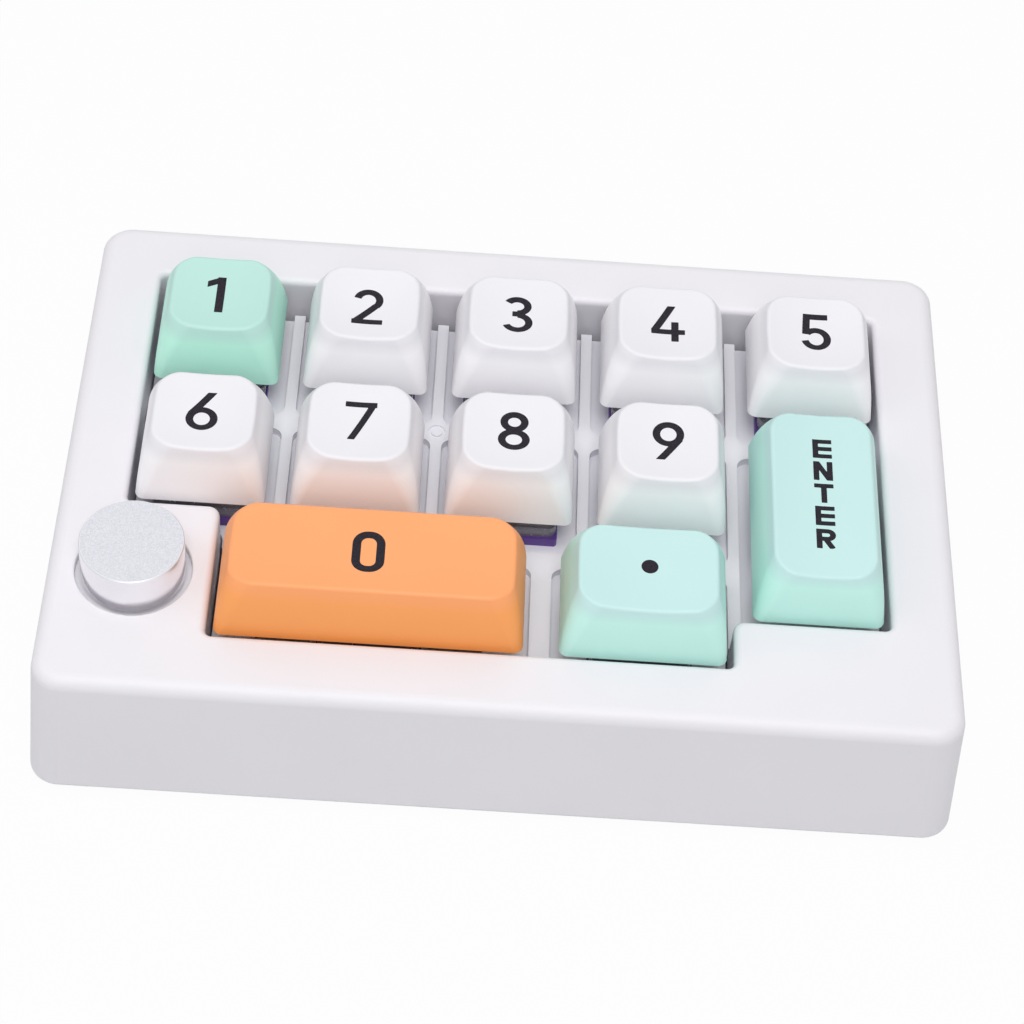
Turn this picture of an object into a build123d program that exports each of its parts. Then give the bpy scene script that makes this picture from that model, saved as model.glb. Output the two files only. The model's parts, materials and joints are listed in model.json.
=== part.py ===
from build123d import *
import math
import os

# A one-handed keypad: twelve sprung keys and a turning, pressing knob in a moulded case.
# Millimetres, +Z up. The origin is on the desk, under the middle of the case. +X is the user's right, +Y is away.

# Key grid
columns = 5
cap_step = 19.05  # keycap sizes are counted in steps of this
one_share = 1.0
dot_share = 1.25
enter_share = 1.77
zero_share = 2.25
cap_gap = 0.95  # how much a cap is smaller than its steps
pocket_margin = 0.95  # from the foot of a cap to the edge of its pocket in the plate
rib_width = 1.6  # plate rib between two columns
bar_width = 2.7  # plate bar between two rows
zero_rib = 2.9  # plate rib between the 0 key and the point key
dot_rib = 1.8  # plate rib between the point key and the enter key

# Heights of the stack
foot_proud = 1.0
rib_drop = 6.2  # from the top of the case down to the plate's ribs
rib_height = 1.3
plate_thickness = 1.5
plate_to_board = 5.0
board_thickness = 1.6
under_room = 2.7  # from the sockets under the board down to the cover
cover_thickness = 2.4
key_travel = 4.0

# Top shell
rim_back = 10.8  # from the well to the foot of the back wall
case_corner = 4.3
case_lean = 1.2  # how far the side and back walls lean in from foot to top
front_lean = 2.5  # how far the front wall leans in from foot to top
case_edge = 2.0
case_toe = 0.6
case_wall = 2.2
case_roof = 2.4
cavity_corner = 2.0
well_back_gap = 1.0
well_front_gap = 0.65  # from the foot of a cap to the front wall of the well
well_corner = 1.0
block_corner = 1.6
well_edge = 1.0
skirt_wall = 1.4
skirt_reach = 2.6  # how far the skirt goes below the pocket floors
boss_radius = 3.2
boss_inset = 4.3

# Knob and its recess
knob_radius = 7.15
knob_rise = 5.9
knob_gap = 0.85  # round the knob in its recess
knob_to_well = 2.7  # from the recess to the pocket of the 0 key
knob_border = 1.725  # from the recess to the soft edge of the case
knob_back = 0.6  # how far the axis is behind the front row's middle
knob_rim = 0.15
knob_skin = 1.3
knob_relief_radius = 5.2
knob_relief = 1.4
recess_depth = 1.4
recess_floor = 1.5
recess_edge = 0.3
core_radius = 4.4
push_travel = 0.5
push_gap = 0.3  # left under the knob when it is pushed in

# Keycaps
cap_sink = 0.1  # how far the foot of a cap is below the top of its switch
cap_blank_height = 9.6  # of a cap before its dish is cut
cap_sections = 5
cap_lean = 1.0  # how far a straight wall would lean in over that height
cap_curl = 1.3  # how much farther the wall curls in towards the top
cap_curl_power = 3
cap_base_corner = 1.3
cap_crown_corner = 3.7
cap_rim = 0.55
cap_wall = 1.4
cap_ceiling = 6.9
hollow_lean = 1.0
hollow_corner = 1.0
dish_height = 8.4  # of the dish's lowest point above the foot
dish_border = 2.1  # from the foot of a cap's side in to the edge of its dish
dish_rise = 0.7  # of the dish from its lowest point to the middle of that edge
cap_post_radius = 2.75
cap_post_lift = 0.3

# Switches
switch_width = 13.9
switch_wall = 1.35
flange_side = 0.25  # how far the flange stands out from a switch at the left and right
flange_front = 0.75  # the same at the front and back
flange_height = 1.5
flange_chamfer = 0.3
switch_floor = 1.4
switch_post_radius = 2.0
switch_post_length = 3.3
guide_radius = 1.6
guide_height = 2.8
switch_height = 6.6
lid_side = 0.2  # from the edge of the flange in to the lid at the left and right
lid_front = 0.45  # the same at the front and back
lid_band = 1.9  # height of the upright walls round the foot of a lid
lid_ledge = 0.4
lid_lean_x = 1.3  # how far the lid leans in from its foot to its top
lid_lean_y = 2.05
lid_corner = 1.2
lid_wall = 1.1
lid_roof = 1.2
slider_x = 7.0
slider_y = 5.6
slider_lift = 1.0
shoulder_x = 8.8
spring_bore_radius = 2.4
spring_bore_drop = 1.6
pole_radius = 1.0
pole_depth = 3.0
pole_room = 0.8
cross_length = 4.1
cross_width = 1.2
cross_height = 3.6
spring_radius = 2.0
spring_wire_radius = 0.16
spring_turns = 8

# Switch contacts and their sockets
pin_one_x = -3.81
pin_one_y = 2.54
pin_two_x = 2.54
pin_two_y = 5.08
pin_radius = 0.65
contact_width = 2.0
contact_thickness = 0.3
contact_height = 4.0
contact_one_step = 1.2  # from a pin back to its blade
contact_two_step = 0.2
socket_size = 4.6
socket_depth = 1.8
socket_boss_radius = 1.45
socket_notch = 0.4

# Stabiliser of the 0 key
stab_gap = 1.0  # from a switch's flange to a stabiliser housing
stab_column = 5.4
stab_foot_y = 6.6
stab_foot_drop = 0.5
stab_foot_height = 3.9
stab_wall = 0.8
stab_roof = 1.1
stab_bar_gap = 0.95  # from the switch to the bar of the wire behind it
stab_arm_end = 2.9
stab_wire_radius = 0.7
stab_bend = 1.2
stab_heel = 0.6
stab_heel_top = 1.6
stab_clip = 1.1
stab_board_gap = 0.1

# Encoder
encoder_size = 11.8
encoder_base_height = 3.4
encoder_height = 6.5
encoder_cavity_radius = 4.9
encoder_floor = 1.2
encoder_ceiling = 4.9
encoder_lead_radius = 0.45
encoder_lead_length = 3.0
encoder_lead_pitch = 2.5
encoder_lead_y = 4.6
bushing_radius = 3.5
bushing_height = 5.0
shaft_radius = 3.0
shaft_flat = 1.5
shaft_key_x = 4.0
shaft_key_y = 3.0
shaft_key_end = 2.2
shaft_shoulder = 5.5
shaft_top_gap = 0.4
rotor_radius = 4.7
rotor_bottom = 1.5
rotor_top = 4.7

# Board and what is on it
board_left_gap = 1.8
board_right_gap = 3.3
board_back_gap = 1.3
board_front_gap = 9.6
board_boss_gap = 0.6
board_pillar_gap = 0.4
usb_x = 0.0
usb_width = 8.94
usb_height = 3.26
usb_depth = 7.35
usb_wall = 0.3
usb_mouth = 0.9  # how far the mouth is inside the foot of the back wall
usb_cut_gap = 0.25
usb_flare = 1.5
tongue_width = 6.69
tongue_thickness = 0.7
tongue_length = 4.6
tongue_back = 1.9
chip_size = 7.0
chip_thickness = 0.9
chip_y = 13.5
chip_dot_radius = 0.5
chip_dot_depth = 0.1
diode_x = 4.8
diode_y = 4.5
diode_length = 2.7
diode_width = 1.6
diode_height = 1.2

# Plate
plate_gap = 0.3
plate_back = 0.2  # how far the plate's outline goes on past the back pockets
pocket_corner = 1.6
pillar_radius = 2.4
pillar_bore_depth = 6.5
mark_radius = 1.25
mark_island_radius = 0.8
mark_depth = 0.3

# Bottom cover, screws and feet
cover_gap = 0.15
screw_radius = 1.2
screw_length = 8.0
screw_head_radius = 2.3
screw_head_height = 1.3
screw_drive_width = 0.6
screw_drive_length = 2.6
screw_drive_depth = 0.7
foot_radius = 5.0
foot_height = 2.0
foot_edge = 0.4
foot_from_boss = 11.0
foot_from_boss_y = 4.0

# Clearances
overrun = 2.0  # how far cutters go past a face
fit_gap = 0.02  # parts that are pushed together
seat_gap = 0.05  # parts that drop into place
slide_gap = 0.1  # parts that slide
wire_gap = 0.15  # the stabiliser wire in its slots
stop_gap = 0.1  # at the end of a travel
hole_gap = 0.15  # leads and pins in the board

# Levels worked out from the stack
case_bottom = foot_proud
cover_top = case_bottom + cover_thickness
board_bottom = cover_top + under_room + socket_depth
board_top = board_bottom + board_thickness
pocket_floor = board_top + plate_to_board
plate_bottom = pocket_floor - plate_thickness
rib_top = pocket_floor + rib_height
case_top = rib_top + rib_drop
cap_lift = switch_height - cap_sink
cap_foot = pocket_floor + cap_lift


def cap_size(share):
    return share * cap_step - cap_gap


# Places worked out from the key grid
cap_one = cap_size(one_share)
pocket = cap_one + 2 * pocket_margin
column_pitch = pocket + rib_width
row_pitch = pocket + bar_width
last_column = (columns - 1) / 2 * column_pitch
zero_width = cap_size(zero_share)
dot_width = cap_size(dot_share)
enter_length = cap_size(enter_share)
enter_y = (cap_one - enter_length) / 2
dot_right = last_column - pocket / 2 - dot_rib
dot_x = dot_right - pocket_margin - dot_width / 2
zero_right = dot_x - dot_width / 2 - pocket_margin - zero_rib
zero_x = zero_right - pocket_margin - zero_width / 2
zero_left = zero_right - 2 * pocket_margin - zero_width
well_side = last_column + pocket / 2
well_front = -row_pitch - cap_one / 2 - well_front_gap
well_back = row_pitch + pocket / 2
knob_block_back = -pocket / 2
enter_block_back = enter_y - enter_length / 2 - well_front_gap
recess_radius = knob_radius + knob_gap
knob_drop = recess_depth - push_travel - push_gap
knob_x = zero_left - knob_to_well - recess_radius
knob_y = -row_pitch + knob_back
case_width = 2 * (recess_radius - knob_x + knob_border + case_edge + case_lean)
case_depth = 2 * (well_back + well_back_gap + rim_back)
cavity_width = case_width - 2 * case_lean - 2 * case_wall
cavity_depth = case_depth - 2 * case_lean - 2 * case_wall
boss_x = cavity_width / 2 - boss_inset
boss_y = cavity_depth / 2 - boss_inset
bosses = [(sx * boss_x, sy * boss_y) for sx in (-1, 1) for sy in (-1, 1)]
pillar_x = column_pitch * (columns - 2) / 2
pillar_y = row_pitch / 2
pillars = [(-pillar_x, pillar_y), (pillar_x, pillar_y), (zero_x, -pillar_y), (pillar_x, -pillar_y)]
foot_x = boss_x - foot_from_boss
foot_y = boss_y - foot_from_boss_y
feet = [(sx * foot_x, sy * foot_y) for sx in (-1, 1) for sy in (-1, 1)]


# Switch sizes worked out from its body
switch_cavity = switch_width - 2 * switch_wall
flange_x = switch_width + 2 * flange_side
flange_y = switch_width + 2 * flange_front
lid_base_x = flange_x - 2 * lid_side
lid_base_y = flange_y - 2 * lid_front
lid_crown_x = lid_base_x - 2 * lid_lean_x
lid_crown_y = lid_base_y - 2 * lid_lean_y


def key_table():
    """Name of each key, with its middle and the size of its cap."""
    keys = {}
    for column in range(columns):
        keys[str(column + 1)] = (column * column_pitch - last_column, row_pitch, cap_one, cap_one)
    for column in range(columns - 1):
        keys[str(column + columns + 1)] = (column * column_pitch - last_column, 0, cap_one, cap_one)
    keys["0"] = (zero_x, -row_pitch, zero_width, cap_one)
    keys["dot"] = (dot_x, -row_pitch, dot_width, cap_one)
    keys["enter"] = (last_column, enter_y, cap_one, enter_length)
    return keys


keys = key_table()


def block(size_x, size_y, bottom, top, x=0, y=0):
    return Pos(x, y, (bottom + top) / 2) * Box(size_x, size_y, top - bottom)


def rod(radius, bottom, top, x=0, y=0):
    return Pos(x, y, (bottom + top) / 2) * Cylinder(radius, top - bottom)


def prism(sketch, bottom, top):
    return extrude(Pos(0, 0, bottom) * sketch, top - bottom)


def outline_at(size_x, size_y, corner, z):
    return Pos(0, 0, z) * RectangleRounded(size_x, size_y, corner)


def cross_bar(length, width, bottom, top, x=0):
    return block(length, width, bottom, top, x) + block(width, length, bottom, top, x)


def at_keys(shape):
    """One copy of a switch part under each key."""
    return [Pos(x, y, pocket_floor) * shape for x, y, _, _ in keys.values()]


def corner_vertices(sketch, points):
    return [min(sketch.vertices(), key=lambda v: math.hypot(v.X - x, v.Y - y)) for x, y in points]


def well_outline(inset, back):
    """Outline round all the pockets, moved inwards by the inset, with its block corners and its other corners."""
    side = well_side - inset
    front = well_front + inset
    block_left = (zero_left + inset, knob_block_back + inset)
    block_right = (dot_right - inset, enter_block_back + inset)
    outer = [
        (-side, back - inset),
        (-side, block_left[1]),
        (block_left[0], front),
        (block_right[0], front),
        (side, block_right[1]),
        (side, back - inset),
    ]
    points = outer[:2] + [block_left] + outer[2:4] + [block_right] + outer[4:]
    face = make_face(Polyline(*points, close=True))
    face = fillet(corner_vertices(face, [block_left, block_right]), block_corner + inset)
    return fillet(corner_vertices(face, outer), well_corner - inset)


def top_shell():
    foot = Pos(0, 0, case_bottom) * RectangleRounded(case_width, case_depth, case_corner)
    crown = RectangleRounded(case_width - 2 * case_lean, case_depth - case_lean - front_lean, case_corner)
    body = loft([foot, Pos(0, (front_lean - case_lean) / 2, case_top) * crown], ruled=True)
    body = fillet(body.edges().group_by(Axis.Z)[-1], case_edge)
    body = fillet(body.edges().group_by(Axis.Z)[0], case_toe)
    cavity = RectangleRounded(cavity_width, cavity_depth, cavity_corner)
    roof_under = case_top - case_roof
    body -= prism(cavity, case_bottom, roof_under)
    skirt_bottom = pocket_floor - skirt_reach
    body += prism(well_outline(-skirt_wall, well_back + well_back_gap), skirt_bottom, roof_under)
    body += rod(recess_radius + case_wall, case_top - recess_depth - recess_floor, roof_under, knob_x, knob_y)
    body -= prism(well_outline(0, well_back + well_back_gap), skirt_bottom, case_top)
    well_rim = body.faces().sort_by(Axis.Z)[-1].inner_wires()[0]
    body = fillet(well_rim.edges(), well_edge)
    body -= rod(recess_radius, case_top - recess_depth, case_top, knob_x, knob_y)
    recess_rim = body.edges().group_by(Axis.Z)[-1].filter_by(GeomType.CIRCLE).sort_by(SortBy.RADIUS)[-1]
    body = fillet(recess_rim, recess_edge)
    body -= rod(bushing_radius + wire_gap, case_top - recess_depth - recess_floor, case_top, knob_x, knob_y)
    for x, y in bosses:
        body += rod(boss_radius, cover_top, roof_under, x, y)
        body -= rod(screw_radius + fit_gap, cover_top, case_bottom + screw_length + slide_gap, x, y)
    return body - usb_cut()


def usb_plane(y):
    return Plane(origin=(usb_x, y, board_top + usb_height / 2), x_dir=(1, 0, 0), z_dir=(0, 1, 0))


usb_front = case_depth / 2 - usb_mouth - case_lean / 2


def usb_cut():
    """Hole in the back wall round the receptacle, with a wider flare for the plug's grip."""
    start = usb_plane(cavity_depth / 2 - overrun)
    hole = start * SlotOverall(usb_width + 2 * usb_cut_gap, usb_height + 2 * usb_cut_gap)
    flare_start = usb_plane(usb_front)
    flare = flare_start * SlotOverall(usb_width + 2 * usb_flare, usb_height + 2 * usb_flare)
    reach = case_depth / 2 - cavity_depth / 2 + 2 * overrun
    return extrude(hole, reach, dir=(0, 1, 0)) + extrude(flare, reach, dir=(0, 1, 0))


def bottom_cover():
    outline = RectangleRounded(cavity_width - 2 * cover_gap, cavity_depth - 2 * cover_gap, cavity_corner)
    body = prism(outline, case_bottom, cover_top)
    for x, y in bosses + pillars:
        body -= Pos(x, y, 0) * screw_shape(seat_gap, 0)
    for x, y in feet:
        body -= rod(foot_radius + seat_gap, case_bottom, foot_height, x, y)
    return body


def screw_shape(gap, drive_depth):
    """Countersunk screw pointing up, its head level with the bottom of the cover."""
    cone_top = case_bottom + screw_head_height
    head = Pos(0, 0, (case_bottom + cone_top) / 2) * Cone(
        screw_head_radius + gap, screw_radius + gap, screw_head_height
    )
    shank = rod(screw_radius + gap, case_bottom, case_bottom + screw_length)
    body = head + shank
    if drive_depth:
        body -= cross_bar(screw_drive_length, screw_drive_width, case_bottom, case_bottom + drive_depth)
    return body


def screws(places):
    screw = screw_shape(0, screw_drive_depth)
    return [Pos(x, y, 0) * screw for x, y in places]


def rubber_feet():
    foot = rod(foot_radius, 0, foot_height)
    foot = fillet(foot.edges().group_by(Axis.Z)[0], foot_edge)
    return [Pos(x, y, 0) * foot for x, y in feet]


def pocket_face(name):
    """Pocket of one key. Where it lies on the rim of the plate it runs out past the rim."""
    x, y, size_x, size_y = keys[name]
    left = x - size_x / 2 - pocket_margin
    right = x + size_x / 2 + pocket_margin
    front = y - size_y / 2 - pocket_margin
    back = y + size_y / 2 + pocket_margin
    if name in ("1", "6"):
        left -= overrun
    if name in ("5", "enter"):
        right += overrun
    if name in ("1", "2", "3", "4", "5"):
        back += overrun
    if name in ("0", "dot", "enter"):
        front -= overrun
    if name == "0":
        left -= overrun
    face = RectangleRounded(right - left, back - front, pocket_corner)
    return Pos((left + right) / 2, (back + front) / 2, 0) * face


def switch_plate():
    body = prism(well_outline(plate_gap, well_back + plate_back), plate_bottom, rib_top)
    for name in keys:
        body -= prism(pocket_face(name), pocket_floor, rib_top)
    cutout = switch_width + 2 * seat_gap
    for x, y, _, _ in keys.values():
        body -= block(cutout, cutout, plate_bottom, pocket_floor, x, y)
    stab_y = -row_pitch + (stab_back - stab_front) / 2
    for side in (-1, 1):
        size_x = stab_width + 2 * slide_gap
        size_y = stab_front + stab_back + 2 * slide_gap
        body -= block(size_x, size_y, plate_bottom, pocket_floor, zero_x + side * stab_reach, stab_y)
    slot_width = 2 * stab_wire_radius + 4 * wire_gap
    body -= block(2 * stab_reach, slot_width, plate_bottom, pocket_floor, zero_x, stab_arm - row_pitch)
    mark_x = -column_pitch / 2
    mark = rod(mark_radius, rib_top - mark_depth, rib_top, mark_x, row_pitch / 2)
    body -= mark - rod(mark_island_radius, rib_top - mark_depth, rib_top, mark_x, row_pitch / 2)
    for x, y in pillars:
        body += rod(pillar_radius, cover_top, plate_bottom, x, y)
        body -= rod(screw_radius + fit_gap, cover_top, cover_top + pillar_bore_depth, x, y)
    return body


def board():
    left = -cavity_width / 2 + board_left_gap
    right = cavity_width / 2 - board_right_gap
    back = cavity_depth / 2 - board_back_gap
    size_y = back + cavity_depth / 2 - board_front_gap
    body = block(right - left, size_y, board_bottom, board_top, (left + right) / 2, back - size_y / 2)
    notch = boss_radius + board_boss_gap
    for x, y in bosses:
        notch_x = math.copysign(boss_x - notch + boss_radius + boss_inset, x)
        body -= block(2 * (boss_radius + boss_inset), 2 * notch, board_bottom, board_top, notch_x, y)
    for x, y in pillars:
        body -= rod(pillar_radius + board_pillar_gap, board_bottom, board_top, x, y)
    for x, y, _, _ in keys.values():
        body -= rod(switch_post_radius + hole_gap, board_bottom, board_top, x, y)
        for pin_x, pin_y in ((pin_one_x, pin_one_y), (pin_two_x, pin_two_y)):
            body -= rod(socket_boss_radius + seat_gap, board_bottom, board_top, x + pin_x, y + pin_y)
    for lead_x, lead_y in encoder_leads():
        body -= rod(encoder_lead_radius + hole_gap, board_bottom, board_top, knob_x + lead_x, knob_y + lead_y)
    return body


def switch_base():
    body = block(switch_width, switch_width, -plate_to_board, 0)
    flange = Rectangle(flange_x, flange_y)
    flange = chamfer(flange.vertices(), flange_chamfer)
    body += prism(flange, 0, flange_height)
    floor = -plate_to_board + switch_floor
    body -= block(switch_cavity, switch_cavity, floor, flange_height)
    body += rod(guide_radius, floor, floor + guide_height)
    body += rod(switch_post_radius, -plate_to_board - switch_post_length, -plate_to_board)
    body -= rod(pole_radius + slide_gap, -pole_depth - key_travel - pole_room, floor + guide_height)
    for pin_x, pin_y in ((pin_one_x, pin_one_y), (pin_two_x, pin_two_y)):
        body -= rod(pin_radius + fit_gap, -plate_to_board, floor, pin_x, pin_y)
    return body


def switch_lid():
    """Hollow lid: an upright band round its foot, and above a ledge a roof that leans in, open for the stem."""
    def roof(inset, ledge, bottom, top):
        narrow = 2 * (inset + ledge)
        base = outline_at(lid_base_x - narrow, lid_base_y - narrow, lid_corner, bottom)
        crown = outline_at(lid_crown_x - 2 * inset, lid_crown_y - 2 * inset, lid_corner, top)
        return loft([base, crown], ruled=True)

    band_top = flange_height + lid_band
    body = prism(RectangleRounded(lid_base_x, lid_base_y, lid_corner), flange_height, band_top)
    body += roof(0, lid_ledge, band_top, switch_height)
    body -= roof(lid_wall, 0, flange_height, switch_height - lid_roof)
    opening_x = slider_x + 2 * slide_gap
    opening_y = slider_y + 2 * slide_gap
    return body - block(opening_x, opening_y, flange_height, switch_height)


def stem():
    body = block(slider_x, slider_y, slider_lift, switch_height)
    body += block(shoulder_x, slider_y, slider_lift, switch_height - lid_roof - stop_gap)
    bore_top = switch_height - spring_bore_drop
    body -= rod(spring_bore_radius, slider_lift, bore_top)
    body += rod(pole_radius, -pole_depth, bore_top)
    return body + cross_bar(cross_length, cross_width, switch_height, switch_height + cross_height)


def spring():
    """Coil between the floor of the switch and the inside of its stem."""
    bottom = -plate_to_board + switch_floor + spring_wire_radius + seat_gap
    top = switch_height - spring_bore_drop - spring_wire_radius - seat_gap
    path = Helix((top - bottom) / spring_turns, top - bottom, spring_radius)
    section = Plane(origin=path @ 0, z_dir=path % 0) * Circle(spring_wire_radius)
    return Pos(0, 0, bottom) * sweep(section, path=path, is_frenet=True)


def contact(pin_x, pin_y, step):
    floor = -plate_to_board + switch_floor
    body = rod(pin_radius, -plate_to_board - switch_post_length, floor, pin_x, pin_y)
    foot_back = pin_y + step + contact_thickness / 2
    foot_front = pin_y - pin_radius
    foot_top = floor + contact_thickness
    body += block(contact_width, foot_back - foot_front, floor, foot_top, pin_x, (foot_back + foot_front) / 2)
    return body + block(contact_width, contact_thickness, floor, floor + contact_height, pin_x, pin_y + step)


def socket():
    """Plug-in socket under the board, which takes both pins of a switch."""
    top = board_bottom - pocket_floor
    bottom = top - socket_depth
    body = block(socket_size, socket_size, bottom, top, pin_one_x, pin_one_y)
    body += block(socket_size, socket_size, bottom, top, pin_two_x, pin_two_y)
    middle_x = (pin_one_x + pin_two_x) / 2
    middle_y = (pin_one_y + pin_two_y) / 2
    body += block(pin_two_x - pin_one_x, socket_size - pin_radius, bottom, top, middle_x, middle_y)
    body -= rod(switch_post_radius + socket_notch, bottom, top)
    for pin_x, pin_y in ((pin_one_x, pin_one_y), (pin_two_x, pin_two_y)):
        body += rod(socket_boss_radius, top, top + board_thickness - seat_gap, pin_x, pin_y)
        body -= rod(pin_radius + seat_gap, bottom, top + board_thickness, pin_x, pin_y)
    return body


def cap_ring(size_x, size_y, share):
    """Section of a cap at a share of its height. Its walls curl in, and its corners grow towards the top."""
    inset = cap_lean * share + cap_curl * share**cap_curl_power
    corner = cap_base_corner + (cap_crown_corner - cap_base_corner) * share
    return outline_at(size_x - 2 * inset, size_y - 2 * inset, corner, cap_blank_height * share)


def dish(size_x, size_y):
    """Cutter for the hollow of a cap's top: a ball, or a long trough on a cap of more than one and a half units."""
    trough = abs(size_x - size_y) > cap_one / 2
    width = cap_one if trough else max(size_x, size_y)
    radius = (width / 2 - dish_border) ** 2 / (2 * dish_rise)
    middle = Pos(0, 0, dish_height + radius)
    if not trough:
        return middle * Sphere(radius)
    turn = Rot(0, 90, 0) if size_x > size_y else Rot(90, 0, 0)
    return middle * turn * Cylinder(radius, max(size_x, size_y))


def keycap(size_x, size_y, post_places):
    shares = [step / (cap_sections - 1) for step in range(cap_sections)]
    body = loft([cap_ring(size_x, size_y, share) for share in shares]) - dish(size_x, size_y)
    crown = [face for face in body.faces() if face.geom_type in (GeomType.SPHERE, GeomType.CYLINDER)]
    body = fillet(max(crown, key=lambda face: face.area).edges(), cap_rim)
    hollow_inset = cap_wall + hollow_lean
    mouth = outline_at(size_x - 2 * cap_wall, size_y - 2 * cap_wall, hollow_corner, 0)
    ceiling = outline_at(size_x - 2 * hollow_inset, size_y - 2 * hollow_inset, hollow_corner, cap_ceiling)
    body -= loft([mouth, ceiling], ruled=True)
    slot_top = switch_height + cross_height - cap_lift + stop_gap
    for x in post_places:
        body += rod(cap_post_radius, cap_post_lift, cap_ceiling, x)
        body -= cross_bar(cross_length + 2 * fit_gap, cross_width + 2 * fit_gap, cap_post_lift, slot_top, x)
    return body


# The stabiliser's own sizes, about the middle of one slider
stab_foot_top = stab_foot_height - stab_foot_drop
stab_ceiling = stab_foot_top + stop_gap
stab_slot_middle = stab_foot_top - stab_foot_height / 2
stab_pivot_z = stab_slot_middle - key_travel / 2
stab_width = stab_column + 4 * slide_gap + 2 * stab_wall
stab_reach = flange_x / 2 + stab_gap + stab_width / 2
stab_arm = switch_width / 2 + stab_bar_gap + stab_wire_radius
stab_front = stab_foot_y / 2 + 2 * slide_gap + stab_wall
stab_back = stab_arm + stab_wire_radius + stab_heel
stab_slope = key_travel / 2 / stab_arm


def stab_housing():
    bottom = -plate_to_board + stab_board_gap
    room_y = stab_foot_y + 4 * slide_gap
    room_x = stab_column + 4 * slide_gap
    body = block(stab_width, 2 * stab_front, bottom, stab_ceiling + stab_roof)
    heel = stab_back - stab_front
    body += block(stab_width, heel, bottom, stab_heel_top, 0, stab_front + heel / 2)
    body -= block(room_x, room_y, bottom, stab_ceiling)
    body -= block(room_x, room_x, stab_ceiling, stab_ceiling + stab_roof)
    swing = 2 * stab_wire_radius + 2 * wire_gap
    swing_end = stab_arm + stab_wire_radius + wire_gap
    body -= block(swing, swing_end, bottom, stab_heel_top, 0, swing_end / 2)
    bore = Rot(0, 90, 0) * Cylinder(stab_wire_radius + seat_gap, stab_width)
    body -= Pos(0, stab_arm, stab_pivot_z) * bore
    return body - block(stab_width, stab_clip, bottom, stab_pivot_z, 0, stab_arm)


def stab_slider():
    body = block(stab_column, stab_foot_y, -stab_foot_drop, stab_foot_top)
    body += block(stab_column, stab_column, stab_foot_top, switch_height)
    body += cross_bar(cross_length, cross_width, switch_height, switch_height + cross_height)
    lean = stab_foot_y / 2 * stab_slope
    half_slot = lean + stab_wire_radius * math.hypot(1, stab_slope) + slide_gap
    slot = 2 * stab_wire_radius + 2 * wire_gap
    return body - block(slot, stab_foot_y, stab_slot_middle - half_slot, stab_slot_middle + half_slot)


def stab_wire():
    """Bent rod: a bar behind the switch, and an arm that runs forward and up into each slider."""
    tip_y = -stab_arm_end
    tip_z = stab_pivot_z + (stab_arm + stab_arm_end) * stab_slope
    points = [
        (-stab_reach, tip_y, tip_z),
        (-stab_reach, stab_arm, stab_pivot_z),
        (stab_reach, stab_arm, stab_pivot_z),
        (stab_reach, tip_y, tip_z),
    ]
    path = FilletPolyline(*points, radius=stab_bend)
    section = Plane(origin=path @ 0, z_dir=path % 0) * Circle(stab_wire_radius)
    return sweep(section, path=path)


def at_zero(shape):
    return Pos(zero_x, -row_pitch, pocket_floor) * shape


def stab_pair(shape):
    return [at_zero(Pos(side * stab_reach, 0, 0) * shape) for side in (-1, 1)]


def at_knob(shape):
    return Pos(knob_x, knob_y, board_top) * shape


def encoder_leads():
    row = [(step * encoder_lead_pitch, -encoder_lead_y) for step in (-1, 0, 1)]
    return row + [(-encoder_lead_pitch, encoder_lead_y), (encoder_lead_pitch, encoder_lead_y)]


def encoder_base():
    body = block(encoder_size, encoder_size, 0, encoder_base_height)
    body -= rod(encoder_cavity_radius, encoder_floor, encoder_base_height)
    for x, y in encoder_leads():
        body += rod(encoder_lead_radius, -encoder_lead_length, 0, x, y)
    return at_knob(body)


def encoder_bushing():
    body = block(encoder_size, encoder_size, encoder_base_height, encoder_height)
    body += rod(bushing_radius, encoder_height, encoder_height + bushing_height)
    body -= rod(encoder_cavity_radius, encoder_base_height, encoder_ceiling)
    return at_knob(body - rod(shaft_radius + seat_gap, encoder_ceiling, encoder_height + bushing_height))


def encoder_rotor():
    body = rod(rotor_radius, rotor_bottom, rotor_top)
    key_x = shaft_key_x + 2 * seat_gap
    key_y = shaft_key_y + 2 * seat_gap
    return at_knob(body - block(key_x, key_y, rotor_bottom, rotor_top))


bushing_top = encoder_height + bushing_height
knob_bottom = case_top - knob_drop - board_top
knob_top = case_top + knob_rise - board_top
knob_ceiling = knob_top - knob_skin
core_bottom = bushing_top + push_travel + stop_gap
shaft_top = knob_ceiling - shaft_top_gap


def shaft_profile(gap, bottom, top):
    """Round shaft with one flat, from the bottom to the top."""
    body = rod(shaft_radius + gap, bottom, top)
    flat = shaft_flat + gap
    beyond = shaft_radius - shaft_flat + overrun
    return body - block(beyond, 2 * shaft_radius + overrun, bottom, top, flat + beyond / 2)


def encoder_shaft():
    body = rod(shaft_radius, shaft_shoulder, core_bottom)
    body += shaft_profile(0, core_bottom, shaft_top)
    return at_knob(body + block(shaft_key_x, shaft_key_y, shaft_key_end, shaft_shoulder))


def knob_core():
    body = rod(core_radius, core_bottom, knob_ceiling)
    return at_knob(body - shaft_profile(fit_gap, core_bottom, knob_ceiling))


def knob():
    body = rod(knob_radius, knob_bottom, knob_top)
    body = chamfer(body.edges().group_by(Axis.Z)[-1], knob_rim)
    body = chamfer(body.edges().group_by(Axis.Z)[0], knob_rim)
    body -= rod(core_radius + fit_gap, knob_bottom, knob_ceiling)
    return at_knob(body - rod(knob_relief_radius, knob_bottom, knob_bottom + knob_relief))


def usb_shell():
    start = usb_plane(usb_front - usb_depth)
    outer = start * SlotOverall(usb_width, usb_height)
    inner = start * SlotOverall(usb_width - 2 * usb_wall, usb_height - 2 * usb_wall)
    return extrude(outer - inner, usb_depth, dir=(0, 1, 0))


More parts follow.
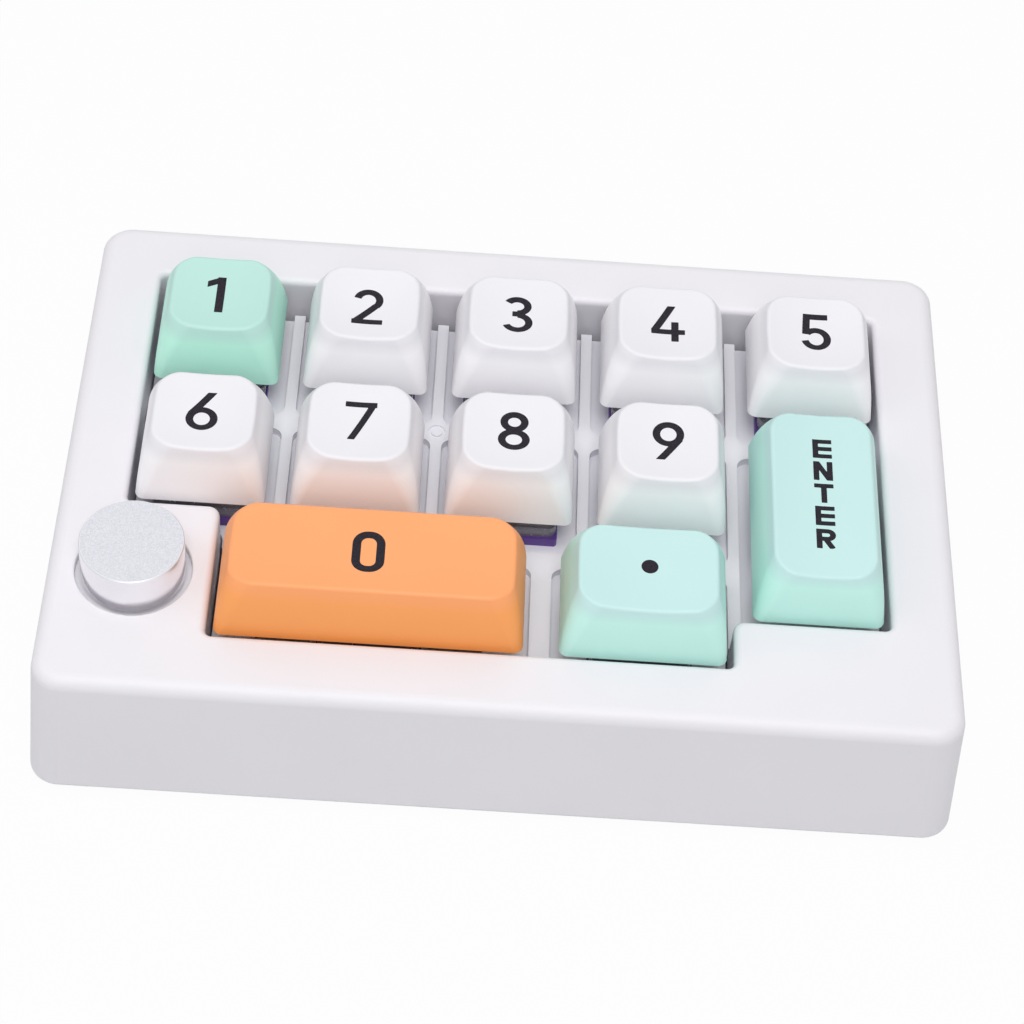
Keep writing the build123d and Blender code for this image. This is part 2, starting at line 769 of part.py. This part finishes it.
def usb_tongue():
    gap = usb_wall + fit_gap
    start = usb_plane(usb_front - usb_depth)
    back = start * SlotOverall(usb_width - 2 * gap, usb_height - 2 * gap)
    blade = start * Rectangle(tongue_width, tongue_thickness)
    return extrude(back, tongue_back, dir=(0, 1, 0)) + extrude(blade, tongue_back + tongue_length, dir=(0, 1, 0))


def controller_chip():
    bottom = board_bottom - chip_thickness
    body = block(chip_size, chip_size, bottom, board_bottom, 0, chip_y)
    corner = chip_size / 2 - 2 * chip_dot_radius
    return body - rod(chip_dot_radius, bottom, bottom + chip_dot_depth, -corner, chip_y + corner)


def diodes():
    top = board_bottom - pocket_floor
    diode = block(diode_length, diode_width, top - diode_height, top, diode_x, -diode_y)
    return at_keys(diode)


def contacts():
    pair = [contact(pin_one_x, pin_one_y, contact_one_step), contact(pin_two_x, pin_two_y, contact_two_step)]
    return at_keys(pair[0]) + at_keys(pair[1])


def save(name, shape):
    if isinstance(shape, list):
        shape = Compound(children=shape)
    export_step(shape, f"parts/{name}.step")


def save_keys():
    one_stem = stem()
    one_spring = spring()
    single_cap = keycap(cap_one, cap_one, [0])
    for name, (x, y, size_x, size_y) in keys.items():
        posts = [-stab_reach, 0, stab_reach] if name == "0" else [0]
        single = size_x == size_y
        cap = single_cap if single else keycap(size_x, size_y, posts)
        save(f"keycap_{name}", Pos(x, y, cap_foot) * cap)
        save(f"stem_{name}", Pos(x, y, pocket_floor) * one_stem)
        save(f"spring_{name}", Pos(x, y, pocket_floor) * one_spring)


os.makedirs("parts", exist_ok=True)
save("top_shell", top_shell())
save("bottom_cover", bottom_cover())
save("case_screws", screws(bosses))
save("plate_screws", screws(pillars))
save("rubber_feet", rubber_feet())
save("switch_plate", switch_plate())
save("circuit_board", board())
save("controller_chip", controller_chip())
save("diodes", diodes())
save("usb_shell", usb_shell())
save("usb_tongue", usb_tongue())
save("switch_bases", at_keys(switch_base()))
save("switch_lids", at_keys(switch_lid()))
save("switch_contacts", contacts())
save("switch_sockets", at_keys(socket()))
save("stabiliser_housings", stab_pair(stab_housing()))
save("stabiliser_sliders", stab_pair(stab_slider()))
save("stabiliser_wire", at_zero(stab_wire()))
save("encoder_base", encoder_base())
save("encoder_bushing", encoder_bushing())
save("encoder_rotor", encoder_rotor())
save("encoder_shaft", encoder_shaft())
save("knob_core", knob_core())
save("knob", knob())
save_keys()
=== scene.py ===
import json
import math

import bmesh
import bpy
import numpy as np
from mathutils import Matrix, Vector
from mathutils.bvhtree import BVHTree

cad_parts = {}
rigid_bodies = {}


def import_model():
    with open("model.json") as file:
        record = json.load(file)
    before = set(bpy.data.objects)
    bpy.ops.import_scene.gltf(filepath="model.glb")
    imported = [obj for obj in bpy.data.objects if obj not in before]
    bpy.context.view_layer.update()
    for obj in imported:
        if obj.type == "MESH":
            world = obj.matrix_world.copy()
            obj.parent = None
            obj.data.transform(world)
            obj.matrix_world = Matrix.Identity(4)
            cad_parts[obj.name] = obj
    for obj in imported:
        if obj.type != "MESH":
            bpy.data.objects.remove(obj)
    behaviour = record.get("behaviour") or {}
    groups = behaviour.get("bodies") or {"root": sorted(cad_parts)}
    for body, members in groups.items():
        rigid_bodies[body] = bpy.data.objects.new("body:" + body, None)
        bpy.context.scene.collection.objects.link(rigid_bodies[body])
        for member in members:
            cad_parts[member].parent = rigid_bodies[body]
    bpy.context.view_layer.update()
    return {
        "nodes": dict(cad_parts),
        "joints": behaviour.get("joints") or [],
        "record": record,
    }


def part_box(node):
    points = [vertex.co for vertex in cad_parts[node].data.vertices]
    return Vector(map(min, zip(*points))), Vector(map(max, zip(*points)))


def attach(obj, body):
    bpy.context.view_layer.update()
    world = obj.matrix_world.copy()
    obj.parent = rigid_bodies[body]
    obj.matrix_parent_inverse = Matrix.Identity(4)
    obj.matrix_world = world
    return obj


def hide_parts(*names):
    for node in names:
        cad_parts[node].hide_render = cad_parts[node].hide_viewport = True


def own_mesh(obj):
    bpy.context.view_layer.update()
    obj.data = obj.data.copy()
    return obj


# The looks of the one-handed keypad: finishes for every solid, printed legends, light, floor and camera.
# Metres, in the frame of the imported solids. Sizes below are in millimetres and turned into metres by mm.

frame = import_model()
nodes = frame["nodes"]
mm = 0.001

# Legends
digit_height = 6.9
digit_width = 4.45
upright_stroke = 1.07  # width of an upright stroke
level_stroke = 0.97  # height of a level stroke
letter_height = 3.4
letter_width = 2.7
letter_pitch = 4.05
letter_count = 5
letter_weight_share = 0.75  # a letter's strokes against a digit's
dot_radius = 1.15
trace_step = 0.08  # grid on which a legend's outline is traced
digit_margin = (0.4, 0.1)  # by which the grid is wider and taller than half the legend
letter_margin = 0.1
dot_margin = 0.2
crossing_range = (0.03, 0.97)  # keeps an outline's points off the grid's own
ink_proud = 0.02
ink_sunk = 0.12

# Caps: heights between which the painted light goes over from the sides' colour to the crown's; the side
# colour stands in for light on the sides and the paler crown colour for sheen on the crown
painted_light_side_top = 27.6
painted_light_crown_foot = 29.2

# Finishes
noise_range = (0.3, 0.7)  # most of a noise lies between these
broad_share = 0.7  # of a plastic's colour patches, where its fine grain makes the rest
fine_detail = 3.0
plastic_spread = 0.06  # of roughness, up and down
metal_spread = 0.07
metal_tint = 0.05
metal_bump = 0.25
track_edges = (0.48, 0.52)  # of the noise that draws the board's tracks

# Knob
knob_rim = 0.2  # width of the turned rim
knob_level = 0.05  # depth from the top that still counts as its face
bead_grain = 0.16
bead_depth = 0.012
bead_bump = 0.3
turning_grain = 0.12
turning_stretch = (0.02, 0.02, 1.0)
satin_roughness = (0.12, 0.2)
rim_roughness = 0.3  # more than the satin side's
blasted_roughness = (0.76, 0.86)

# Camera, as solved from the corners of the case, the well and the caps
lens = 98.48
sensor = 36.0
camera_place = (-9.642, -256.785, 324.908)
camera_right = (0.9976, 0.0334, 0.0608)
camera_up = (-0.0643, 0.7722, 0.6321)
camera_back = (-0.0258, -0.6345, 0.7725)

# Light and floor
sky_strength = 0.475
lamp_size = (320.0, 420.0)
lamps = {  # place, and light on a face turned to the lamp, where a white sky of strength 1 gives 1
    "high_lamp": ((0.0, -250.0, 720.0), 0.32),
    "front_lamp": ((0.0, -460.0, 600.0), 0.155),
    "back_lamp": ((0.0, 460.0, 600.0), 0.07),
    "left_lamp": ((-460.0, 0.0, 600.0), 0.105),
    "right_lamp": ((460.0, 0.0, 600.0), 0.03),
}
floor_size = 6000.0
floor_drop = 0.02  # keeps the floor just under the feet
floor_glow_share = 0.96  # how much of the floor's white the camera sees as even white


def srgb(red, green, blue):
    """Linear colour of a screen colour that is written in steps of 255."""
    parts = [step / 255 for step in (red, green, blue)]
    return [p / 12.92 if p <= 0.04045 else ((p + 0.055) / 1.055) ** 2.4 for p in parts] + [1.0]


# Shader building


class Shader:
    """One material, with short ways to add nodes and join them."""

    def __init__(self, name):
        self.material = bpy.data.materials.new(name)
        self.material.use_nodes = True
        self.tree = self.material.node_tree
        self.surface = self.tree.nodes["Principled BSDF"]
        self.place = self.add("ShaderNodeTexCoord").outputs["Object"]

    def add(self, kind, **settings):
        node = self.tree.nodes.new(kind)
        for key, value in settings.items():
            setattr(node, key, value)
        return node

    def join(self, source, target):
        self.tree.links.new(source, target)

    def set(self, **values):
        for key, value in values.items():
            self.surface.inputs[key.replace("_", " ")].default_value = value

    def noise(self, grain, detail=2.0, stretch=(1.0, 1.0, 1.0)):
        """Noise whose spots are about grain millimetres wide."""
        mapping = self.add("ShaderNodeMapping")
        mapping.inputs["Scale"].default_value = stretch
        self.join(self.place, mapping.inputs["Vector"])
        node = self.add("ShaderNodeTexNoise")
        node.inputs["Scale"].default_value = 1 / (grain * mm)
        node.inputs["Detail"].default_value = detail
        self.join(mapping.outputs["Vector"], node.inputs["Vector"])
        return node.outputs["Fac"]

    def math(self, operation, first, second):
        node = self.add("ShaderNodeMath", operation=operation)
        for value, socket in zip((first, second), node.inputs):
            if isinstance(value, (int, float)):
                socket.default_value = value
            else:
                self.join(value, socket)
        return node.outputs["Value"]

    def span(self, source, low, high, start=noise_range[0], end=noise_range[1]):
        """The source's range from start to end, spread from low to high."""
        node = self.add("ShaderNodeMapRange")
        node.inputs["From Min"].default_value = start
        node.inputs["From Max"].default_value = end
        node.inputs["To Min"].default_value = low
        node.inputs["To Max"].default_value = high
        self.join(source, node.inputs["Value"])
        return node.outputs["Result"]

    def blend(self, factor, first, second):
        node = self.add("ShaderNodeMix", data_type="RGBA")
        self.join(factor, node.inputs["Factor"])
        for value, socket in zip((first, second), (node.inputs[6], node.inputs[7])):
            if isinstance(value, (list, tuple)):
                socket.default_value = value
            else:
                self.join(value, socket)
        return node.outputs[2]

    def patched(self, base, patch, tint):
        """The base colour, a little darker and lighter in patches."""
        darker = [channel * (1 - tint) for channel in base[:3]] + [1.0]
        lighter = [min(channel * (1 + tint), 1.0) for channel in base[:3]] + [1.0]
        return self.blend(self.span(patch, 0, 1), darker, lighter)

    def colour(self, value):
        self.join(value, self.surface.inputs["Base Color"])

    def axes(self):
        """X, Y and Z of the place on the solid."""
        split = self.add("ShaderNodeSeparateXYZ")
        self.join(self.place, split.inputs["Vector"])
        return split.outputs

    def roughness(self, grain, middle, spread):
        self.join(self.span(grain, middle - spread, middle + spread), self.surface.inputs["Roughness"])

    def bump(self, height, depth, strength):
        node = self.add("ShaderNodeBump")
        node.inputs["Distance"].default_value = depth * mm
        node.inputs["Strength"].default_value = strength
        self.join(height, node.inputs["Height"])
        self.join(node.outputs["Normal"], self.surface.inputs["Normal"])


def plastic(name, colour, roughness, grain, depth, strength=0.35, patch=14.0, tint=0.02, side=None):
    """Moulded plastic with a fine grain and faint broad patches. On caps this adds painted light: below the
    crown they take a side colour, lighter on the white and mint caps and more saturated on the coloured ones,
    standing in for light on the sides and sheen on the crown.
    """
    shader = Shader(name)
    fine = shader.noise(grain, detail=fine_detail)
    broad = shader.math("MULTIPLY", shader.noise(patch), broad_share)
    patches = shader.math("ADD", broad, shader.math("MULTIPLY", fine, 1 - broad_share))
    body = shader.patched(colour, patches, tint)
    if side:
        # Painted light: the side colour holds up to the side top and gives way to the crown colour by the
        # crown foot
        crown = shader.span(shader.axes()["Z"], 0, 1, painted_light_side_top * mm, painted_light_crown_foot * mm)
        body = shader.blend(crown, shader.patched(side, patches, tint), body)
    shader.colour(body)
    shader.roughness(fine, roughness, plastic_spread)
    shader.bump(fine, depth, strength)
    return shader


def metal(name, colour, roughness, grain, stretch=(1.0, 1.0, 1.0), depth=0.004):
    """Plain metal with fine marks, which the stretch can draw out into lines."""
    shader = Shader(name)
    marks = shader.noise(grain, detail=fine_detail, stretch=stretch)
    shader.colour(shader.patched(colour, marks, metal_tint))
    shader.roughness(marks, roughness, metal_spread)
    shader.bump(marks, depth, metal_bump)
    shader.set(Metallic=1.0)
    return shader


def knob_metal():
    """Bead-blasted top, turned rim and satin side, told apart by the place on the knob. The rim band's darker
    grey is painted shade, a thin dark outline round the top.
    """
    low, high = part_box("knob")
    axis = (low + high) / 2
    rim = knob_rim * mm
    shader = Shader("knob_silver")
    place = shader.axes()
    from_x = shader.math("SUBTRACT", place["X"], axis.x)
    from_y = shader.math("SUBTRACT", place["Y"], axis.y)
    squares = shader.math("ADD", shader.math("POWER", from_x, 2.0), shader.math("POWER", from_y, 2.0))
    radius = shader.math("SQRT", squares, 0.0)
    inside = shader.math("LESS_THAN", radius, (high.x - low.x) / 2 - rim)
    level = shader.math("GREATER_THAN", place["Z"], high.z - knob_level * mm)
    edge = shader.math("GREATER_THAN", place["Z"], high.z - rim)
    top = shader.math("MULTIPLY", inside, level)
    beads = shader.noise(bead_grain)
    turning = shader.noise(turning_grain, stretch=turning_stretch)
    # Painted shade: the rim band takes a darker grey than the side, drawing the thin dark outline round the
    # top
    base = shader.blend(edge, srgb(240, 239, 242), srgb(214, 214, 218))
    speckle = shader.blend(shader.span(beads, 0, 1), srgb(197, 198, 203), srgb(220, 221, 225))
    shader.colour(shader.blend(top, base, speckle))
    rougher = shader.math("MULTIPLY", edge, rim_roughness)
    satin = shader.math("ADD", shader.span(turning, *satin_roughness), rougher)
    blasted = shader.span(beads, *blasted_roughness)
    mixed = shader.add("ShaderNodeMix", data_type="FLOAT")
    shader.join(top, mixed.inputs["Factor"])
    shader.join(satin, mixed.inputs[2])
    shader.join(blasted, mixed.inputs[3])
    shader.join(mixed.outputs[0], shader.surface.inputs["Roughness"])
    shader.bump(shader.math("MULTIPLY", beads, top), bead_depth, bead_bump)
    shader.set(Metallic=1.0)
    return shader


def smoke_plastic():
    """Clear smoky plastic of the switch lids."""
    smoke_grain = dict(roughness=0.22, grain=0.5, depth=0.004, strength=0.15, patch=5.0)
    shader = plastic("switch_smoke", srgb(172, 169, 180), **smoke_grain)
    shader.set(Transmission_Weight=0.5, IOR=1.58)
    return shader


def board_mask():
    """Green solder mask over a faint pattern of tracks."""
    shader = Shader("board_green")
    tracks = shader.noise(1.6, detail=0.0, stretch=(1.0, 0.15, 1.0))
    fine = shader.noise(0.3)
    shader.colour(shader.blend(shader.span(tracks, 0, 1, *track_edges), srgb(22, 74, 46), srgb(30, 92, 58)))
    shader.roughness(fine, 0.32, 0.05)
    shader.bump(tracks, 0.02, 0.2)
    return shader


case_grain = dict(roughness=0.48, grain=0.35, depth=0.012, tint=0.012)
plate_grain = dict(roughness=0.5, grain=0.35, depth=0.012)
cap_grain = dict(roughness=0.5, grain=0.3, depth=0.012, strength=0.3, tint=0.015)
base_grain = dict(roughness=0.38, grain=0.4, depth=0.006, tint=0.05, patch=4.0)
stem_grain = dict(roughness=0.3, grain=0.4, depth=0.004, tint=0.05, patch=4.0)
black_grain = dict(roughness=0.42, grain=0.3, depth=0.01, tint=0.08, patch=5.0)
rubber_grain = dict(roughness=0.75, grain=0.3, depth=0.02, tint=0.05, patch=3.0)
ink_grain = dict(roughness=0.6, grain=0.2, depth=0.006, strength=0.2, patch=0.3, tint=0.4)
floor_grain = dict(roughness=0.9, grain=1.5, depth=0.01, tint=0.005, patch=80.0)
brass_lines = dict(roughness=0.3, grain=0.3, stretch=(1.0, 1.0, 0.1))
finishes = {
    "case_white": plastic("case_white", srgb(233, 231, 236), **case_grain),
    "plate_white": plastic("plate_white", srgb(241, 240, 246), **plate_grain),
    # The caps' side colours are painted light, standing in for light on their sides and sheen on their crowns
    "cap_white": plastic("cap_white", srgb(235, 234, 239), side=srgb(251, 250, 253), **cap_grain),
    "cap_mint": plastic("cap_mint", srgb(196, 231, 229), side=srgb(198, 245, 235), **cap_grain),
    "cap_orange": plastic("cap_orange", srgb(255, 167, 107), side=srgb(255, 166, 92), **cap_grain),
    "switch_purple": plastic("switch_purple", srgb(96, 62, 150), **base_grain),
    "switch_smoke": smoke_plastic(),
    "stem_dark": plastic("stem_dark", srgb(62, 48, 84), **stem_grain),
    "black_plastic": plastic("black_plastic", srgb(34, 34, 36), **black_grain),
    "board_green": board_mask(),
    "contact_brass": metal("contact_brass", srgb(214, 178, 104), **brass_lines),
    "steel": metal("steel", srgb(198, 198, 200), roughness=0.28, grain=0.25),
    "knob_silver": knob_metal(),
    "foot_rubber": plastic("foot_rubber", srgb(132, 132, 136), **rubber_grain),
}
ink = plastic("legend_ink", srgb(44, 41, 48), **ink_grain)
ink.set(Specular_IOR_Level=0.08)
# Painted shade: keycap_1 takes a darker, greener copy of the mint, standing in for the light falling
# differently on it than on the other mint caps
shaded_mint_copy = plastic("cap_mint_shaded_copy", srgb(186, 227, 217), side=srgb(190, 244, 226), **cap_grain)
for subpart in frame["record"]["subparts"]:
    finish = shaded_mint_copy if subpart["node"] == "keycap_1" else finishes[subpart["material_slot"]]
    for slot in nodes[subpart["node"]].material_slots:
        slot.material = finish.material


# Legends: strokes are fields that are below zero inside the stroke. Their points are in millimetres about the
# middle of a digit or letter.


def bar(start, end, weight_share=1.0):
    """Straight stroke with square ends."""

    def field(x, y):
        run_x, run_y = end[0] - start[0], end[1] - start[1]
        length = math.hypot(run_x, run_y)
        along = ((x - start[0]) * run_x + (y - start[1]) * run_y) / length
        across = ((y - start[1]) * run_x - (x - start[0]) * run_y) / length
        half = math.hypot(upright_stroke * run_y, level_stroke * run_x) / length * weight_share / 2
        return np.maximum(np.abs(along - length / 2) - length / 2, np.abs(across) - half)

    return field


def ellipse(x, y, radius_x, radius_y):
    return (np.hypot(x / radius_x, y / radius_y) - 1) * min(radius_x, radius_y)


def bowl(middle, radii, start=180.0, end=-180.0, weight_share=1.0):
    """Round stroke of these outer radii, from the start angle clockwise to the end angle."""

    def field(x, y):
        x, y = x - middle[0], y - middle[1]
        inner = radii[0] - upright_stroke * weight_share, radii[1] - level_stroke * weight_share
        ring = np.maximum(ellipse(x, y, *radii), -ellipse(x, y, *inner))
        turn = np.degrees(np.arctan2(y, x)) - (start + end) / 2
        turn = np.abs((turn + 180) % 360 - 180)
        return np.maximum(ring, np.radians(turn - (start - end) / 2) * np.hypot(x, y))

    return field


def rounded(x, y, half_x, half_y, corner):
    beyond_x = np.abs(x) - half_x + corner
    beyond_y = np.abs(y) - half_y + corner
    outside = np.hypot(np.maximum(beyond_x, 0), np.maximum(beyond_y, 0))
    return outside + np.minimum(np.maximum(beyond_x, beyond_y), 0) - corner


def ring_stroke(half_x, half_y, corner, weight_share=1.0):
    """Closed stroke round a tall box with round corners."""

    def field(x, y):
        inner_x, inner_y = half_x - upright_stroke * weight_share, half_y - level_stroke * weight_share
        inner_corner = corner - (upright_stroke + level_stroke) / 2 * weight_share
        inner = rounded(x, y, inner_x, inner_y, inner_corner)
        return np.maximum(rounded(x, y, half_x, half_y, corner), -inner)

    return field


def joined(*strokes):
    return lambda x, y: np.minimum.reduce([stroke(x, y) for stroke in strokes])


def cut(field, half_x, half_y):
    """The field inside a box, which cuts slanted strokes off level or upright."""
    return lambda x, y: np.maximum.reduce([field(x, y), np.abs(x) - half_x, np.abs(y) - half_y])


def turned(field):
    return lambda x, y: field(-x, -y)


def moved(field, by_x, by_y):
    return lambda x, y: field(x - by_x, y - by_y)


def digits():
    """Fields of the ten digits, drawn between the edges of a digit's box."""
    right = digit_width / 2
    top = digit_height / 2
    head = top - level_stroke / 2
    six = joined(bowl((0, 2.15 - top), (right, 2.15)), bar((1.35, top + 0.3), (-1.62, -0.55)))
    drawn = {
        "1": joined(bar((0.66, -top), (0.66, top), 1.12), bar((0.9, top - 0.3), (-1.6, top - 1.55))),
        "2": joined(
            bowl((0, 1.4), (right - 0.08, 2.05), 168, -42),
            bar((1.14, 0.38), (-1.75, -head)),
            bar((-right, -head), (right, -head)),
        ),
        "3": joined(
            bowl((-0.05, 1.72), (2.05, 1.73), 155, -90),
            bowl((0, -1.48), (right, 1.97), 90, -160),
            bar((-0.75, 0.24), (0.2, 0.24)),
        ),
        "4": joined(
            bar((0.65, top + 0.3), (-2.1, -1.55)),
            bar((-2.45, -1.5), (2.45, -1.5)),
            bar((1.0, 0.5), (1.0, -top)),
        ),
        "5": joined(
            bar((-1.72, head), (1.72, head)),
            bar((-1.32, top), (-1.52, -0.35)),
            bowl((-0.05, -1.25), (right - 0.05, 2.2), 140, -166),
        ),
        "6": six,
        "7": joined(
            bar((-right, head), (right, head), 0.9),
            bar((1.72, top - 0.4), (-1.28, -top - 0.3), 0.88),
        ),
        "8": joined(bowl((0, 1.68), (1.98, 1.77)), bowl((0, -1.5), (right, 1.95))),
        "9": turned(six),
        "0": ring_stroke(right, top, 2.05, 1.1),
    }
    for name, field in drawn.items():
        half_x = 1.35 if name == "1" else right + 0.25
        drawn[name] = cut(field, half_x, top)
    return drawn


def letters():
    """Fields of the five letters on the enter key, from the back to the front."""
    share = letter_weight_share
    side = (letter_width - upright_stroke * share) / 2
    head = (letter_height - level_stroke * share) / 2
    right, top = letter_width / 2, letter_height / 2
    stem = bar((-side, -top), (-side, top), share)
    e = joined(stem, *[bar((-right, level), (right, level), share) for level in (-head, 0, head)])
    n = joined(stem, bar((side, -top), (side, top), share), bar((-side, top), (side, -top), share))
    t = joined(bar((-right, head), (right, head), share), bar((0, -top), (0, top), share))
    bowl_y = 0.66
    r = joined(
        stem,
        bar((-side, head), (0.2, head), share),
        bar((-side, 2 * bowl_y - head), (0.2, 2 * bowl_y - head), share),
        bowl((0.2, bowl_y), (right - 0.2, top - bowl_y), 90, -90, share),
        bar((-0.1, 0), (side - 0.05, -top), share),
    )
    row = [cut(letter, right, top) for letter in (e, n, t, e, r)]
    steps = [(letter_count // 2 - place) * letter_pitch for place in range(letter_count)]
    return joined(*[moved(letter, 0, step) for letter, step in zip(row, steps)])


def trace(field, half_x, half_y):
    """Points and faces of the part of a grid where the field is below zero, with a smooth edge."""
    xs = np.arange(-half_x, half_x + trace_step, trace_step)
    ys = np.arange(-half_y, half_y + trace_step, trace_step)
    value = field(*np.meshgrid(xs, ys, indexing="ij"))
    points, index, faces = [], {}, []

    def point(key, x, y):
        if key not in index:
            index[key] = len(points)
            points.append((x, y))
        return index[key]

    def crossing(a, b):
        a, b = sorted((a, b))
        share = min(max(value[a] / (value[a] - value[b]), crossing_range[0]), crossing_range[1])
        x = xs[a[0]] + share * (xs[b[0]] - xs[a[0]])
        return point((a, b), x, ys[a[1]] + share * (ys[b[1]] - ys[a[1]]))

    for i in range(len(xs) - 1):
        for j in range(len(ys) - 1):
            loop = [(i, j), (i + 1, j), (i + 1, j + 1), (i, j + 1)]
            inside = [value[corner] < 0 for corner in loop]
            face = []
            for k, corner in enumerate(loop):
                after = (k + 1) % 4
                if inside[k]:
                    face.append(point(corner, xs[i + (k in (1, 2))], ys[j + (k in (2, 3))]))
                if inside[k] != inside[after]:
                    face.append(crossing(corner, loop[after]))
            if face:
                faces.append(face)
    return points, faces


def print_legend(key, field, half_x, half_y):
    """Thin closed solid of ink that follows the hollow of a key's cap."""
    cap = nodes[f"keycap_{key}"]
    low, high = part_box(f"keycap_{key}")
    middle = (low + high) / 2
    shift_x, shift_y = legend_shift[key]
    surface = BVHTree.FromPolygons([v.co for v in cap.data.vertices], [p.vertices for p in cap.data.polygons])
    points, faces = trace(field, half_x, half_y)
    mesh = bmesh.new()
    upper, lower = [], []
    for x, y in points:
        place = Vector((middle.x + (x + shift_x) * mm, middle.y + (y + shift_y) * mm, high.z + mm))
        landing = surface.ray_cast(place, Vector((0, 0, -1)))[0]
        upper.append(mesh.verts.new(landing + Vector((0, 0, ink_proud * mm))))
        lower.append(mesh.verts.new(landing - Vector((0, 0, ink_sunk * mm))))
    for face in faces:
        mesh.faces.new([upper[i] for i in face])
        mesh.faces.new([lower[i] for i in reversed(face)])
    sides = {(a, b) for face in faces for a, b in zip(face, face[1:] + face[:1])}
    for a, b in sides:
        if (b, a) not in sides:
            mesh.faces.new([upper[b], upper[a], lower[a], lower[b]])
    data = bpy.data.meshes.new(f"legend_{key}")
    mesh.to_mesh(data)
    mesh.free()
    piece = bpy.data.objects.new(f"legend_{key}", data)
    bpy.context.scene.collection.objects.link(piece)
    data.materials.append(ink.material)
    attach(piece, f"key_{key}")


legend_shift = {  # of a legend from the middle of its cap
    "1": (-0.7, 0.1), "2": (-0.25, -0.35), "3": (-0.2, 0.1), "4": (0.1, 0.25), "5": (0.1, 0.5),
    "6": (-0.3, 0.35), "7": (0.1, 0.45), "8": (0.05, 0.45), "9": (0.1, 0.45), "0": (-0.65, 0.0),
    "dot": (0.15, 0.65), "enter": (0.15, 0.2),
}
for name, field in digits().items():
    print_legend(name, field, digit_width / 2 + digit_margin[0], digit_height / 2 + digit_margin[1])
dot_half = dot_radius + dot_margin
print_legend("dot", lambda x, y: np.hypot(x, y) - dot_radius, dot_half, dot_half)
print_legend("enter", letters(), letter_width / 2 + letter_margin, letter_count / 2 * letter_pitch)


# Springs


def coil(joint):
    """A key's spring, copied as a piece of its own onto the parent body of the key's press joint, with the
    imported spring hidden.
    """
    key = joint["child"].removeprefix("key_")
    spring = nodes[f"spring_{key}"]
    piece = bpy.data.objects.new(f"coil_{key}", spring.data.copy())
    bpy.context.scene.collection.objects.link(piece)
    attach(piece, joint["parent"])
    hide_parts(f"spring_{key}")
    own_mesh(piece)


for joint in frame["joints"]:
    if joint["name"].endswith("_press"):
        coil(joint)


# Floor, light and camera


def is_seen(tree):
    """One for rays that see the background directly, in a mirror or through glass."""
    path = tree.nodes.new("ShaderNodeLightPath")
    seen = path.outputs["Is Camera Ray"]
    for ray in ("Is Glossy Ray", "Is Transmission Ray"):
        either = tree.nodes.new("ShaderNodeMath")
        either.operation = "MAXIMUM"
        tree.links.new(seen, either.inputs[0])
        tree.links.new(path.outputs[ray], either.inputs[1])
        seen = either.outputs["Value"]
    return seen


def floor():
    half = floor_size / 2 * mm
    corners = [(-half, -half), (half, -half), (half, half), (-half, half)]
    data = bpy.data.meshes.new("floor")
    data.from_pydata([(x, y, -floor_drop * mm) for x, y in corners], [], [(0, 1, 2, 3)])
    piece = bpy.data.objects.new("floor", data)
    bpy.context.scene.collection.objects.link(piece)
    shader = plastic("floor_white", srgb(208, 208, 210), **floor_grain)
    shader.set(Specular_IOR_Level=0.1)
    tree = shader.tree
    glow = tree.nodes.new("ShaderNodeEmission")
    mix = tree.nodes.new("ShaderNodeMixShader")
    share = shader.math("MULTIPLY", is_seen(tree), floor_glow_share)
    tree.links.new(share, mix.inputs["Fac"])
    tree.links.new(shader.surface.outputs["BSDF"], mix.inputs[1])
    tree.links.new(glow.outputs["Emission"], mix.inputs[2])
    tree.links.new(mix.outputs["Shader"], tree.nodes["Material Output"].inputs["Surface"])
    data.materials.append(shader.material)


def sky():
    world = bpy.data.worlds.new("studio")
    world.use_nodes = True
    bpy.context.scene.world = world
    tree = world.node_tree
    strength = tree.nodes.new("ShaderNodeMapRange")
    strength.inputs["To Min"].default_value = sky_strength
    tree.links.new(is_seen(tree), strength.inputs["Value"])
    background = tree.nodes["Background"]
    background.inputs["Color"].default_value = (1.0, 1.0, 1.0, 1.0)
    tree.links.new(strength.outputs["Result"], background.inputs["Strength"])


def lamp(name, place, share):
    """Soft box aimed at the object."""
    data = bpy.data.lights.new(name, "AREA")
    data.shape = "RECTANGLE"
    data.size, data.size_y = [side * mm for side in lamp_size]
    spot = Vector(place) * mm
    data.energy = share * math.pi**2 * spot.length_squared
    piece = bpy.data.objects.new(name, data)
    piece.location = spot
    piece.rotation_euler = spot.to_track_quat("Z", "Y").to_euler()
    bpy.context.scene.collection.objects.link(piece)


def camera():
    data = bpy.data.cameras.new("camera")
    data.lens = lens
    data.sensor_width = sensor
    piece = bpy.data.objects.new("camera", data)
    columns = [Vector(axis).normalized() for axis in (camera_right, camera_up, camera_back)]
    turn = Matrix(columns).transposed().to_4x4()
    piece.matrix_world = Matrix.Translation(Vector(camera_place) * mm) @ turn
    bpy.context.scene.collection.objects.link(piece)
    bpy.context.scene.camera = piece


floor()
sky()
for lamp_name, (place, share) in lamps.items():
    lamp(lamp_name, place, share)
camera()
bpy.context.scene.view_settings.view_transform = "Standard"
